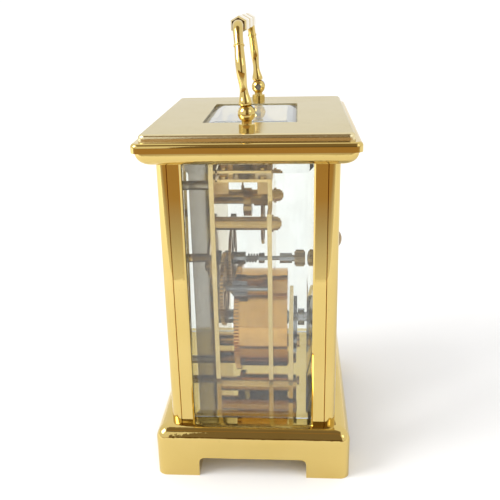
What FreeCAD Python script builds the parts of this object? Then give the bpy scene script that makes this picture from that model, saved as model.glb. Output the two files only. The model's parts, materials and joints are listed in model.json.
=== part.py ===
"""Carriage clock: glazed brass case, folding handle, back door and an eight-day movement.

Origin: centre of the base on the surface it stands on. +Z up, -Y the dial, +X the clock's right side.
Lengths are millimetres.
"""
import FreeCAD, Part
import math
import os
import re
import Sketcher

V = FreeCAD.Vector
ALONG_Y = FreeCAD.Rotation(V(1, 0, 0), -90)
ALONG_X = FreeCAD.Rotation(V(0, 1, 0), 90)
UPRIGHT = FreeCAD.Rotation()

doc = FreeCAD.newDocument("CarriageClock")
dims = doc.addObject("Spreadsheet::Sheet", "Dims")

SIZES = (
    ("base_x", 41.5, "base, half width"),
    ("base_y", 32.5, "base, half depth"),
    ("base_corner", 3.3, "base, corner radius in plan"),
    ("base_face", 13.26, "top of the base's upright face"),
    ("base_top", 17.95, "floor that the pillars and movement stand on"),
    ("foot_gap_x", 27.0, "half length of the cut-out between the feet, front and back"),
    ("foot_gap_y", 18.05, "half length of the cut-out between the feet, sides"),
    ("foot_gap_top", 7.06, "height of the cut-outs"),
    ("foot_fillet", 2.0, "rounding at the top of a cut-out"),
    ("pillar_x", 36.6, "corner pillars, outer face in X"),
    ("pillar_y", 27.6, "corner pillars, outer face in Y"),
    ("pillar_size", 7.9, "corner pillar, width of each face"),
    ("pillar_top", 106.84, "underside of the cornice"),
    ("bead_radius", 3.5, "round outer corner of a pillar"),
    ("quirk", 0.35, "depth of the fine line beside the bead"),
    ("groove_depth", 1.6, "depth of a glass groove"),
    ("tier_bottom", 111.03, "underside of the top's lower tier"),
    ("tier_top", 113.87, "top of the lower tier"),
    ("tier_x", 42.37, "lower tier, half width"),
    ("tier_y", 33.37, "lower tier, half depth"),
    ("plate_top", 116.15, "top of the top plate"),
    ("plate_x", 40.3, "top plate, half width"),
    ("plate_y", 31.3, "top plate, half depth"),
    ("window_x", 20.45, "top window, half width"),
    ("window_y", 14.78, "top window, half depth"),
    ("ledge", 1.9, "width of the ledge that carries the top glass"),
    ("side_glass", 2.5, "thickness of the side and door glasses"),
    ("side_glass_in", 2.1, "side glass, set in from the pillar face"),
    ("front_glass", 2.0, "thickness of the front glass"),
    ("front_glass_in", 1.15, "front glass, set in from the pillar face"),
    ("glass_play", 0.06, "play of a glass in its groove"),
    ("bevel", 3.4, "width of a glass bevel"),
    ("bevel_drop", 0.9, "depth of a glass bevel"),
    ("door_thick", 3.2, "back door frame, thickness"),
    ("door_rail", 4.0, "back door frame, width of its rails"),
    ("door_gap", 0.3, "gap round the back door"),
    ("door_rebate", 1.4, "rebate that holds the door glass"),
    ("hinge_bore", 0.8, "bore for a hinge pin"),
    ("hinge_pin", 0.76, "radius of a hinge pin"),
    ("knob_radius", 3.5, "door knob"),
    ("knob_z", 62.0, "height of the door knob"),
    ("knob_reach", 5.0, "knob, out from the door"),
    ("knob_dome", 1.5, "knob, height of its domed face"),
    ("post_x", 33.0, "handle posts, from the middle"),
    ("pivot_z", 120.9, "handle pivot height"),
    ("ball_radius", 2.65, "ball of a handle post"),
    ("post_collar", 2.4, "collar of a handle post"),
    ("handle_rise", 24.2, "handle, pivot to the grip's middle"),
    ("handle_lean", 5.7, "handle's lean to the front, degrees"),
    ("grip_half", 25.5, "grip, half length"),
    ("grip_radius", 2.75, "grip, across its corners, half"),
    ("front_plate_y", -11.9, "front plate, inner face"),
    ("back_plate_y", 5.1, "back plate, inner face"),
    ("plate_thick", 1.5, "movement plates"),
    ("movement_x", 21.5, "movement plates, half width"),
    ("front_plate_top", 105.0, "top of the front plate"),
    ("back_plate_top", 87.0, "top of the back plate, at its shoulders"),
    ("upper_post_x", 17.4, "upper movement pillars"),
    ("upper_post_z", 82.6, "upper movement pillars"),
    ("upper_post_r", 2.2, "upper movement pillars, radius"),
    ("lower_post_x", 17.0, "lower movement pillars"),
    ("lower_post_z", 22.0, "lower movement pillars"),
    ("lower_post_r", 2.6, "lower movement pillars, radius"),
    ("bridge_y", 12.0, "barrel bridge, front face"),
    ("bridge_top", 44.0, "top of the barrel bridge"),
    ("barrel_z", 40.6, "barrel arbor"),
    ("drum_radius", 18.2, "mainspring barrel"),
    ("drum_back", 11.4, "rear face of the barrel"),
    ("great_front", -7.2, "great wheel, front face"),
    ("great_thick", 1.9, "great wheel"),
    ("great_teeth", 96, "great wheel"),
    ("ratchet_radius", 7.8, "ratchet wheel"),
    ("ratchet_teeth", 24, "ratchet wheel"),
    ("centre_z", 63.9, "centre arbor"),
    ("second_x", 13.45, "second arbor"),
    ("second_z", 57.5, "second arbor"),
    ("second_leaves", 12, "second pinion"),
    ("second_teeth", 60, "second wheel"),
    ("centre_leaves", 12, "centre pinion"),
    ("centre_teeth", 64, "centre wheel"),
    ("third_x", -6.2, "third arbor"),
    ("third_z", 76.9, "third arbor"),
    ("third_leaves", 8, "third pinion"),
    ("third_teeth", 60, "third wheel"),
    ("contrate_z", 85.0, "contrate arbor"),
    ("contrate_leaves", 8, "contrate pinion"),
    ("contrate_teeth", 70, "contrate wheel"),
    ("contrate_radius", 4.7, "contrate wheel, middle of its teeth"),
    ("contrate_face", -3.55, "contrate wheel, root of its teeth"),
    ("escape_y", -4.22, "escape arbor"),
    ("escape_leaves", 7, "escape pinion"),
    ("escape_radius", 3.3, "escape wheel"),
    ("escape_teeth", 15, "escape wheel"),
    ("platform_z", 95.6, "underside of the platform"),
    ("platform_thick", 1.0, "platform"),
    ("platform_x", 14.0, "platform, half width"),
    ("lever_x", 3.77, "lever arbor"),
    ("lever_y", -1.95, "lever arbor"),
    ("balance_x", 7.5, "balance staff"),
    ("balance_y", 0.3, "balance staff"),
    ("balance_radius", 5.0, "balance rim"),
    ("cannon_leaves", 12, "cannon pinion"),
    ("minute_teeth", 36, "minute wheel"),
    ("minute_leaves", 10, "minute pinion"),
    ("hour_teeth", 40, "hour wheel"),
    ("minute_x", 8.4, "minute wheel stud"),
    ("dial_y", -21.7, "front face of the dial"),
    ("dial_x", 28.3, "dial, half width"),
    ("dial_thick", 1.0, "dial"),
    ("hour_length", 13.0, "hour hand"),
    ("minute_length", 19.5, "minute hand"),
)

for row, (name, number, note) in enumerate(SIZES, start=1):
    dims.set(f"A{row}", name)
    dims.set(f"B{row}", str(number))
    dims.set(f"C{row}", note)
    dims.setAlias(f"B{row}", name)
doc.recompute()

ALIASES = re.compile(r"\b(" + "|".join(name for name, number, note in SIZES) + r")\b")
nodes = []


def sized(text):
    """An expression with every size name pointed at the sheet."""
    return ALIASES.sub(r"Dims.\1", str(text))


def value(text):
    """The number that an expression gives with the sheet's present values."""
    return float(dims.evalExpression(sized(text)))


def bind(item, path, text):
    item.setExpression(path, sized(text))


def origin_feature(body, role):
    return next(feature for feature in body.Origin.OriginFeatures if feature.Role == role)


def place(item, x, y, z, turn):
    item.Placement = FreeCAD.Placement(V(value(x), value(y), value(z)), turn)
    for axis, text in zip("xyz", (x, y, z)):
        bind(item, f".Placement.Base.{axis}", text)


def new_body(label, x=0, y=0, z=0, turn=UPRIGHT):
    body = doc.addObject("PartDesign::Body", label)
    body.Label = label
    place(body, x, y, z, turn)
    nodes.append(body)
    return body


def new_sketch(body, role="XY_Plane", offset=0):
    sketch = body.newObject("Sketcher::SketchObject", body.Label + "_sketch")
    sketch.AttachmentSupport = (origin_feature(body, role), [""])
    sketch.MapMode = "FlatFace"
    bind(sketch, ".AttachmentOffset.Base.z", offset)
    return sketch


def pin(sketch, kind, element, corner, text):
    """A driving dimension from the sketch origin to one point."""
    index = sketch.addConstraint(Sketcher.Constraint(kind, -1, 1, element, corner, value(text)))
    bind(sketch, f"Constraints[{index}]", text)


def arc_between(start, end, radius):
    """Minor arc from start to end; a positive radius turns to the left. Also tells if it was reversed."""
    chord = end - start
    half = chord.Length / 2
    rise = math.sqrt(max(radius ** 2 - half ** 2, 0))
    side = 1 if radius > 0 else -1
    left = V(-chord.y, chord.x, 0).normalize()
    centre = start + chord * 0.5 + left * (rise * side)
    first, last = (start, end) if radius > 0 else (end, start)
    angles = [math.atan2(p.y - centre.y, p.x - centre.x) for p in (first, last)]
    circle = Part.Circle(centre, V(0, 0, 1), abs(radius))
    return Part.ArcOfCircle(circle, *angles), radius < 0


def outline(sketch, points):
    """A closed outline. A point is (x, y), or (x, y, radius) where an arc leads to the next point."""
    spots = [V(value(point[0]), value(point[1]), 0) for point in points]
    ends = []
    for number, point in enumerate(points):
        start, end = spots[number], spots[(number + 1) % len(points)]
        if len(point) > 2:
            curve, reversed_arc = arc_between(start, end, value(point[2]))
            element = sketch.addGeometry(curve, False)
            index = sketch.addConstraint(Sketcher.Constraint("Radius", element, abs(value(point[2]))))
            bind(sketch, f"Constraints[{index}]", f"abs({point[2]})")
            ends.append((element, 2, 1) if reversed_arc else (element, 1, 2))
        else:
            element = sketch.addGeometry(Part.LineSegment(start, end), False)
            ends.append((element, 1, 2))
    for number, (element, first, last) in enumerate(ends):
        following, following_first, _ = ends[(number + 1) % len(ends)]
        sketch.addConstraint(Sketcher.Constraint("Coincident", element, last, following, following_first))
        pin(sketch, "DistanceX", element, first, points[number][0])
        pin(sketch, "DistanceY", element, first, points[number][1])


def circles(sketch, centres, radius):
    for x, y in centres:
        element = sketch.addGeometry(Part.Circle(V(value(x), value(y), 0), V(0, 0, 1), value(radius)), False)
        pin(sketch, "DistanceX", element, 3, x)
        pin(sketch, "DistanceY", element, 3, y)
        index = sketch.addConstraint(Sketcher.Constraint("Radius", element, value(radius)))
        bind(sketch, f"Constraints[{index}]", radius)


def rectangle(sketch, left, right, low, high):
    outline(sketch, [(left, low), (right, low), (right, high), (left, high)])


def rounded(sketch, half_x, half_y, radius):
    """A rectangle about the origin with rounded corners."""
    x, y, r = f"({half_x})", f"({half_y})", f"({radius})"
    outline(sketch, [
        (f"-{x} + {r}", f"-{y}"), (f"{x} - {r}", f"-{y}", r),
        (x, f"-{y} + {r}"), (x, f"{y} - {r}", r),
        (f"{x} - {r}", y), (f"-{x} + {r}", y, r),
        (f"-{x}", f"{y} - {r}"), (f"-{x}", f"-{y} + {r}", r),
    ])


def feature(body, kind, sketch):
    item = body.newObject("PartDesign::" + kind, body.Label + "_" + kind.lower())
    item.Profile = sketch
    return item


def pad(body, sketch, length):
    item = feature(body, "Pad", sketch)
    bind(item, "Length", length)
    return item


def pocket(body, sketch, depth=None, away=False):
    """A cut, through everything both ways unless a depth is given; it must take volume away."""
    doc.recompute()
    before = body.Shape.Volume
    item = feature(body, "Pocket", sketch)
    if depth is None:
        item.Type = "ThroughAll"
        item.Midplane = True
    else:
        bind(item, "Length", depth)
        item.Reversed = away
    doc.recompute()
    if not body.Shape.Volume < before - 1e-6:
        raise RuntimeError(f"{body.Label}: a cut takes nothing away")
    return item


def bore(body, centres, radius, offset=0, depth=None, role="XY_Plane", away=False):
    sketch = new_sketch(body, role, offset)
    circles(sketch, centres, radius)
    return pocket(body, sketch, depth, away)


def revolve(body, points):
    """Turn an outline of (radius, height) points about the body's Z axis."""
    sketch = new_sketch(body, "XZ_Plane")
    outline(sketch, points)
    item = feature(body, "Revolution", sketch)
    item.ReferenceAxis = (sketch, ["V_Axis"])
    item.Angle = 360
    return item


def shaft(body, start, steps):
    """A turned piece: it begins at start, and each step is (end, radius)."""
    points = [("0", start)]
    level = start
    for end, radius in steps:
        points += [(radius, level), (radius, end)]
        level = end
    return revolve(body, points + [("0", level)])


def polar(body, base_feature, count):
    item = body.newObject("PartDesign::PolarPattern", body.Label + "_pattern")
    item.Originals = [base_feature]
    item.Axis = (origin_feature(body, "Z_Axis"), [""])
    item.Angle = 360
    bind(item, "Occurrences", count)
    body.Tip = item
    return item


def loft(body, sketches):
    item = body.newObject("PartDesign::AdditiveLoft", body.Label + "_loft")
    item.Profile = sketches[0]
    item.Sections = sketches[1:]
    item.Ruled = False
    return item


def fillet(body, chosen, radius):
    doc.recompute()
    tip = body.Tip
    names = [f"Edge{n}" for n, edge in enumerate(tip.Shape.Edges, start=1) if chosen(edge)]
    item = body.newObject("PartDesign::Fillet", body.Label + "_fillet")
    item.Base = (tip, names)
    bind(item, "Radius", radius)
    return item


def flat_at(level):
    """Chooses the edges that lie flat at a height."""
    wanted = value(level)
    return lambda edge: all(abs(z - wanted) < 1e-4 for z in (edge.BoundBox.ZMin, edge.BoundBox.ZMax))


def from_shape(label, shape, x=0, y=0, z=0, turn=UPRIGHT):
    """A sub-part whose shape is worked out here from the sheet's values."""
    item = doc.addObject("Part::Feature", label)
    item.Label = label
    item.Shape = shape
    place(item, x, y, z, turn)
    nodes.append(item)
    return item


def group(label, members):
    """Several solids that share one node."""
    for member in members:
        nodes.remove(member)
    item = doc.addObject("Part::Compound", label)
    item.Label = label
    item.Links = members
    nodes.append(item)
    return item


def spiral_strip(inner, outer, turns, thick, height):
    """A flat spiral spring: a strip on edge, its line made of half circles that step outwards."""
    steps = int(round(turns * 2))
    growth = (outer - inner) / steps

    def side(shift):
        edges = []
        for step in range(steps):
            radius = inner + shift + growth * step
            middle = 0.0 if step % 2 == 0 else growth
            sign = 1 if step % 2 == 0 else -1
            first = V(middle + sign * radius, 0, 0)
            top = V(middle, sign * radius, 0)
            last = V(middle - sign * radius, 0, 0)
            edges.append(Part.Arc(first, top, last).toShape())
        return edges

    inside = side(0.0)
    outside = side(thick)
    closing = [
        Part.makeLine(inside[0].firstVertex().Point, outside[0].firstVertex().Point),
        Part.makeLine(inside[-1].lastVertex().Point, outside[-1].lastVertex().Point),
    ]
    wire = Part.Wire(Part.__sortEdges__(inside + outside + closing))
    return Part.Face(wire).extrude(V(0, 0, height))


# ---- toothed wheels -------------------------------------------------------------------------------

WHEEL_TOOTH = {"root": ("1.20", "0.22"), "pitch": ("0", "0.19"), "tip": ("0.80", "0.06")}
PINION_LEAF = {"root": ("1.30", "0.13"), "pitch": ("0", "0.16"), "tip": ("0.60", "0.07")}


def between(first, second):
    """Distance between two arbors, each given as an (x, z) pair."""
    return f"sqrt(({first[0]} - ({second[0]}))^2 + ({first[1]} - ({second[1]}))^2)"


def share(teeth, others, distance):
    """Pitch radius of a wheel that meshes with another at a distance."""
    return f"({distance} * {teeth} / ({teeth} + {others}))"


def facing(centre, other, teeth, gap):
    """Turn about Y that points a tooth, or a gap, from one arbor at another."""
    angle = math.degrees(math.atan2(value(centre[1]) - value(other[1]), value(other[0]) - value(centre[0])))
    if gap:
        angle += 180 / value(teeth)
    return ALONG_Y.multiply(FreeCAD.Rotation(V(0, 0, 1), angle))


def add_teeth(body, shape, radius, teeth, width, offset=0):
    """One tooth standing on the rim, repeated round the wheel."""
    module = f"(2 * {radius} / {teeth})"
    pitch = f"(pi * {module})"
    root = f"{radius} - {shape['root'][0]} * {module} - 0.05"
    tip = f"{radius} + {shape['tip'][0]} * {module}"
    right = [(root, f"-{shape['root'][1]} * {pitch}"), (radius, f"-{shape['pitch'][1]} * {pitch}"),
             (tip, f"-{shape['tip'][1]} * {pitch}")]
    left = [(x, y.replace("-", "", 1)) for x, y in reversed(right)]
    sketch = new_sketch(body, offset=offset)
    outline(sketch, right + left)
    tooth = pad(body, sketch, width)
    polar(body, tooth, teeth)


def cross_out(body, spokes, inner, outer, half_width):
    """Windows between the spokes of a wheel."""
    def corner(radius, side):
        angle = f"(180deg / {spokes} - asin({half_width} / ({radius})))"
        return f"({radius}) * cos({angle})", f"{side}({radius}) * sin({angle})"

    sketch = new_sketch(body)
    outline(sketch, [
        corner(inner, "-"), corner(outer, "-") + (outer,),
        corner(outer, ""), corner(inner, "") + (f"-({inner})",),
    ])
    polar(body, pocket(body, sketch), spokes)


def rim_radius(radius, teeth, shape):
    return f"({radius} - {shape['root'][0]} * 2 * {radius} / {teeth})"


def disc_with_bore(body, radius, hole, width):
    sketch = new_sketch(body)
    circles(sketch, [("0", "0")], radius)
    if hole:
        circles(sketch, [("0", "0")], hole)
    return pad(body, sketch, width)


def wheel(label, centre, front, width, radius, teeth, hole, turn, spokes=5, hub="2.2", rim="1.6"):
    """A brass wheel with crossings, its front face at a Y."""
    body = new_body(label, centre[0], front, centre[1], turn)
    solid = rim_radius(radius, teeth, WHEEL_TOOTH)
    disc_with_bore(body, solid, hole, width)
    if spokes:
        cross_out(body, spokes, hub, f"{solid} - {rim}", "0.55")
    add_teeth(body, WHEEL_TOOTH, radius, teeth, width)
    return body


def pinion(label, centre, front, leaf_length, radius, leaves, turn, steps, hole=None):
    """A pinion cut on its arbor: leaves from the front Y, with the arbor's own steps."""
    body = new_body(label, centre[0], front, centre[1], turn)
    shaft(body, steps[0], steps[1])
    add_teeth(body, PINION_LEAF, radius, leaves, leaf_length)
    if hole:
        bore(body, [("0", "0")], hole)
    return body


# ---- case -----------------------------------------------------------------------------------------

CORNERS = ((1, 1), (-1, 1), (-1, -1), (1, -1))
SCREW_IN = "4.0"
SCREW_SPOTS = [(f"{sx} * (pillar_x - {SCREW_IN})", f"{sy} * (pillar_y - {SCREW_IN})") for sx, sy in CORNERS]
SEAT_SPOTS = [(f"{side} * lower_post_x", "-3") for side in (1, -1)]
HINGE_X = "(pillar_x - pillar_size - door_gap - door_thick / 2)"
HINGE_Y = "(pillar_y - door_thick / 2)"


def ovolo(body, low, high, wide, narrow, opens_up):
    """A convex moulding between two levels as a loft of rounded rectangles.

    wide and narrow are (half x, half y, corner radius); opens_up puts the wide end at the top.
    """
    stations = 6
    sketches = []
    for number in range(stations):
        turn = 90 * number / (stations - 1)
        rise = math.sin(math.radians(turn))
        back = 1 - math.cos(math.radians(turn))
        level = f"{low} + ({high} - {low}) * {rise:.5f}"
        if opens_up:
            level = f"{high} - ({high} - {low}) * {rise:.5f}"
        sketch = new_sketch(body, offset=level)
        rounded(sketch, *[f"({w} - ({w} - ({n})) * {back:.5f})" for w, n in zip(wide, narrow)])
        sketches.append(sketch)
    loft(body, sketches)


def make_base():
    body = new_body("base")
    sketch = new_sketch(body)
    rounded(sketch, "base_x", "base_y", "base_corner")
    pad(body, sketch, "base_face")
    ovolo(body, "base_face", "base_top", ("base_x", "base_y", "base_corner"),
          ("pillar_x + 0.5", "pillar_y + 0.5", "1.2"), opens_up=False)
    for role, half in (("XZ_Plane", "foot_gap_x"), ("YZ_Plane", "foot_gap_y")):
        sketch = new_sketch(body, role)
        outline(sketch, [
            (f"-{half}", "-1"), (half, "-1"), (half, "foot_gap_top - foot_fillet", "foot_fillet"),
            (f"{half} - foot_fillet", "foot_gap_top"),
            (f"-{half} + foot_fillet", "foot_gap_top", "foot_fillet"),
            (f"-{half}", "foot_gap_top - foot_fillet"),
        ])
        pocket(body, sketch)
    bore(body, SCREW_SPOTS + SEAT_SPOTS, "1.25")
    bore(body, SCREW_SPOTS, "2.6", 0, "9.2", away=True)
    bore(body, SEAT_SPOTS, "2.6", "foot_gap_top - 0.5", "2.5", away=True)
    bore(body, [(HINGE_X, HINGE_Y)], "hinge_pin", "base_top", "4")
    return body


def screws(label, groups):
    """Identical screws: a group is (spots, head bottom, head height, shank top, shank radius)."""
    body = new_body(label)
    for spots, bottom, head, top, radius in groups:
        sketch = new_sketch(body, offset=bottom)
        circles(sketch, spots, "2.2")
        pad(body, sketch, head)
        sketch = new_sketch(body, offset=bottom)
        circles(sketch, spots, radius)
        pad(body, sketch, f"({top}) - ({bottom})")
    return body


def make_pillar(label, sx, sy):
    """One corner pillar: two flats, a bead between fine lines, and a groove for each fixed glass."""
    body = new_body(label, z="base_top")
    s, w = "pillar_size", "quirk"
    front = sy < 0
    run = [
        ("pillar_x - 0.5", f"pillar_y - {s}"), ("pillar_x", f"pillar_y - {s} + 0.5"),
        ("pillar_x", "pillar_y - bead_radius - 0.3"), (f"pillar_x - {w}", "pillar_y - bead_radius - 0.15"),
        ("pillar_x", "pillar_y - bead_radius", "bead_radius"),
        ("pillar_x - bead_radius", "pillar_y"), ("pillar_x - bead_radius - 0.15", f"pillar_y - {w}"),
        ("pillar_x - bead_radius - 0.3", "pillar_y"), (f"pillar_x - {s} + 0.5", "pillar_y"),
        (f"pillar_x - {s}", "pillar_y - 0.5"),
    ]
    if front:
        inner, outer = "pillar_y - front_glass_in - front_glass - glass_play", "pillar_y - front_glass_in"
        run += [(f"pillar_x - {s}", outer), (f"pillar_x - {s} + groove_depth", outer),
                (f"pillar_x - {s} + groove_depth", inner), (f"pillar_x - {s}", inner)]
    inner, outer = "pillar_x - side_glass_in - side_glass - glass_play", "pillar_x - side_glass_in"
    run += [(f"pillar_x - {s}", f"pillar_y - {s}"), (inner, f"pillar_y - {s}"),
            (inner, f"pillar_y - {s} + groove_depth"), (outer, f"pillar_y - {s} + groove_depth"),
            (outer, f"pillar_y - {s}")]
    mirrored = []
    for point in run:
        spot = (f"{sx} * ({point[0]})", f"{sy} * ({point[1]})")
        if len(point) > 2:
            spot += (f"{sx * sy} * {point[2]}",)
        mirrored.append(spot)
    sketch = new_sketch(body)
    outline(sketch, mirrored)
    pad(body, sketch, "pillar_top - base_top")
    spot = [(f"{sx} * (pillar_x - {SCREW_IN})", f"{sy} * (pillar_y - {SCREW_IN})")]
    bore(body, spot, "1.2", 0, "8", away=True)
    bore(body, spot, "1.2", "pillar_top - base_top", "8")
    return body


def make_cornice():
    body = new_body("cornice")
    ovolo(body, "pillar_top", "tier_bottom", ("tier_x - 0.9", "tier_y - 0.9", "2.4"),
          ("pillar_x + 0.6", "pillar_y + 0.6", "1.2"), opens_up=True)
    sketch = new_sketch(body, offset="tier_bottom")
    rounded(sketch, "tier_x", "tier_y", "2.5")
    pad(body, sketch, "tier_top - tier_bottom")
    fillet(body, flat_at("tier_top"), "1.2")
    sketch = new_sketch(body, offset="pillar_top")
    rounded(sketch, "pillar_x - pillar_size - 1", "pillar_y - pillar_size - 1", "1.5")
    pocket(body, sketch, "tier_bottom - pillar_top", away=True)
    sketch = new_sketch(body)
    rounded(sketch, "window_x - ledge", "window_y - ledge", "0.4")
    pocket(body, sketch)
    bore(body, SCREW_SPOTS, "1.25")
    bore(body, SCREW_SPOTS, "2.6", "tier_top", "2.2")
    bore(body, [("post_x", "0"), ("-post_x", "0")], "1.22", "tier_top", "2")
    bore(body, [(HINGE_X, HINGE_Y)], "hinge_pin", "pillar_top", "3.5", away=True)
    return body


def make_top_plate():
    body = new_body("top_plate", z="tier_top")
    sketch = new_sketch(body)
    rounded(sketch, "plate_x", "plate_y", "2.2")
    pad(body, sketch, "plate_top - tier_top")
    fillet(body, flat_at("plate_top - tier_top"), "1.2")
    sketch = new_sketch(body)
    rounded(sketch, "window_x", "window_y", "0.3")
    pocket(body, sketch)
    bore(body, [("post_x", "0"), ("-post_x", "0")], "1.22")
    return body


def make_glass(label, half_x, half_y, thick, x, y, z, turn):
    """A bevelled glass: local Z is its outward face, local X and Y its sides."""
    body = new_body(label, x, y, z, turn)
    sketch = new_sketch(body)
    rectangle(sketch, f"-({half_x})", half_x, f"-({half_y})", half_y)
    pad(body, sketch, f"{thick} - bevel_drop")
    low = new_sketch(body, offset=f"{thick} - bevel_drop")
    rectangle(low, f"-({half_x})", half_x, f"-({half_y})", half_y)
    high = new_sketch(body, offset=thick)
    rectangle(high, f"-({half_x}) + bevel", f"{half_x} - bevel", f"-({half_y}) + bevel", f"{half_y} - bevel")
    loft(body, [low, high])
    return body


def make_glasses():
    middle = "(base_top + pillar_top) / 2"
    half_z = "(pillar_top - base_top) / 2 - glass_play"
    half_y = "pillar_y - pillar_size + groove_depth - glass_play"
    inner = "pillar_x - side_glass_in - side_glass"
    right = FreeCAD.Rotation(V(0, 0, 1), 90).multiply(FreeCAD.Rotation(V(1, 0, 0), 90))
    left = FreeCAD.Rotation(V(0, 0, 1), -90).multiply(FreeCAD.Rotation(V(1, 0, 0), 90))
    front = FreeCAD.Rotation(V(1, 0, 0), 90)
    back = FreeCAD.Rotation(V(0, 0, 1), 180).multiply(FreeCAD.Rotation(V(1, 0, 0), 90))
    make_glass("glass_right", half_y, half_z, "side_glass", inner, 0, middle, right)
    make_glass("glass_left", half_y, half_z, "side_glass", f"-({inner})", 0, middle, left)
    make_glass("glass_front", "pillar_x - pillar_size + groove_depth - glass_play", half_z, "front_glass",
               0, "-(pillar_y - front_glass_in - front_glass)", middle, front)
    make_glass("glass_top", "window_x - glass_play", "window_y - glass_play", "plate_top - tier_top - 0.1",
               0, 0, "tier_top", UPRIGHT)
    make_glass("glass_door", "pillar_x - pillar_size - door_gap - door_rail + door_rebate - glass_play",
               "(pillar_top - base_top) / 2 - door_gap - door_rail + door_rebate - glass_play", "2.0",
               0, "pillar_y - door_thick + 0.1", middle, back)


def make_door():
    """Frame that turns on its round right-hand edge; the glass lies in a rebate on the inside."""
    body = new_body("back_door", z="base_top + door_gap")
    edge = "pillar_x - pillar_size - door_gap"
    tall = "(pillar_top - base_top - 2 * door_gap)"
    sketch = new_sketch(body)
    outline(sketch, [
        (f"-({edge})", "pillar_y - door_thick"), (HINGE_X, "pillar_y - door_thick", "door_thick / 2"),
        (edge, HINGE_Y, "door_thick / 2"), (HINGE_X, "pillar_y"), (f"-({edge})", "pillar_y"),
    ])
    pad(body, sketch, tall)
    for depth, lip in ((None, "0"), ("2.2", "door_rebate")):
        sketch = new_sketch(body, "XZ_Plane", "-(pillar_y - door_thick)" if depth else 0)
        rail = f"(door_rail - {lip})"
        rectangle(sketch, f"-({edge}) + {rail}", f"{edge} - {rail}", rail, f"{tall} - {rail}")
        pocket(body, sketch, depth)
    bore(body, [(HINGE_X, HINGE_Y)], "hinge_bore", 0, "4.5", away=True)
    bore(body, [(HINGE_X, HINGE_Y)], "hinge_bore", tall, "4.5")
    knob_x = f"-({edge} - door_rail / 2)"
    bore(body, [(knob_x, "knob_z - base_top - door_gap")], "0.65", role="XZ_Plane")

    pins = new_body("door_pins")
    for bottom, top in (("base_top - 4", "base_top + 4"), ("pillar_top - 4", "pillar_top + 3.5")):
        sketch = new_sketch(pins, offset=bottom)
        circles(sketch, [(HINGE_X, HINGE_Y)], "hinge_pin")
        pad(pins, sketch, f"({top}) - ({bottom})")

    knob = new_body("door_knob", knob_x, "pillar_y", "knob_z", ALONG_Y)
    revolve(knob, [
        ("0", "-door_thick - 1.2"), ("1.9", "-door_thick - 1.2"), ("1.9", "-door_thick"),
        ("0.6", "-door_thick"), ("0.6", "0"), ("2.3", "0"), ("2.3", "0.5"), ("1.3", "1.0"), ("1.3", "1.9"),
        ("2.6", "2.2"), ("knob_radius", "3.0"),
        ("knob_radius", "knob_reach - knob_dome", "(knob_radius^2 + knob_dome^2) / (2 * knob_dome)"),
        ("0", "knob_reach"),
    ])


# ---- handle ---------------------------------------------------------------------------------------

HANDLE_SEAT = "(ball_radius + 0.15)"


def make_post(label, side):
    body = new_body(label, f"{side} * post_x", 0, "plate_top")
    rise = "pivot_z - plate_top"
    revolve(body, [
        ("0", "-4"), ("1.2", "-4"), ("1.2", "0"), ("post_collar", "0"), ("post_collar", "1.6"),
        ("post_collar - 0.2", "1.8"), ("1.5", "1.8"),
        ("1.5", f"{rise} - sqrt(ball_radius^2 - 1.5^2)", "ball_radius"),
        ("ball_radius", rise, "ball_radius"), ("0", f"{rise} + ball_radius"),
    ])
    slot = new_sketch(body, "XZ_Plane")
    rectangle(slot, "-0.8", "0.8", f"{rise} - 2.0", f"{rise} + ball_radius + 1")
    pocket(body, slot)
    for radius, edge in (("0.73", "1.7"), ("1.15", "-1.9")):
        bore(body, [("0", rise)], radius, f"{side} * ({edge})", "2 * ball_radius", "YZ_Plane", away=side < 0)
    return body


def make_pivots():
    """A headed pin for each side, put in from the inner face of its post."""
    body = new_body("handle_pivots")
    for side in (1, -1):
        for radius, outer, length in (("0.7", "1.65", "3.55"), ("1.1", "-1.9", "0.5")):
            sketch = new_sketch(body, "YZ_Plane", f"{side} * (post_x + ({outer}))")
            circles(sketch, [("0", "pivot_z")], radius)
            pin_part = pad(body, sketch, length)
            pin_part.Reversed = side > 0
    return body


def make_arm(label, side):
    """A cast arm: a flat tongue in the post's slot, then a round arm that curves in to the grip."""
    post, grip = value("post_x"), value("grip_half")
    rise, seat = value("handle_rise"), value(HANDLE_SEAT)
    tongue = Part.makeCylinder(1.9, 1.4, V(post - 0.7, 0, 0), V(1, 0, 0))
    neck = Part.makeBox(1.4, 2.0, seat + 0.6, V(post - 0.7, -1.0, 0))
    inward = post - grip
    stations = ((0.0, 0.1, 1.85), (0.0, 0.19, 1.6), (0.02, 0.31, 1.15), (0.08, 0.42, 1.35), (0.06, 0.55, 1.5),
                (-0.08, 0.67, 1.45), (-0.26, 0.78, 1.35), (-0.45, 0.89, 1.4), (-0.72, 0.98, 1.55),
                (-1.0, 1.0, 1.65))
    spots = [V(post + inward * shift, 0, rise * share_up) for shift, share_up, radius in stations]
    rings = []
    for number, (shift, share_up, radius) in enumerate(stations):
        before, after = spots[max(number - 1, 0)], spots[min(number + 1, len(spots) - 1)]
        course = V(0, 0, 1) if number == 0 else after - before
        if number == len(stations) - 1:
            course = V(-1, 0, 0)
        rings.append(Part.Wire(Part.makeCircle(radius, spots[number], course)))
    arm = Part.makeLoft(rings, True).cut(Part.makeSphere(seat, V(post, 0, 0)))
    ring = Part.makeTorus(1.25, 0.35, spots[6], spots[7] - spots[5])
    spigot = Part.makeCylinder(0.9, 4.0, V(grip, 0, rise), V(-1, 0, 0))
    shape = arm.fuse([tongue, neck, ring, spigot]).removeSplitter()
    shape = shape.cut(Part.makeCylinder(0.75, 6, V(post - 3, 0, 0), V(1, 0, 0)))
    if side < 0:
        shape = shape.mirror(V(0, 0, 0), V(1, 0, 0))
    from_shape(label, shape, z="pivot_z", turn=FreeCAD.Rotation(V(1, 0, 0), value("handle_lean")))


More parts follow.
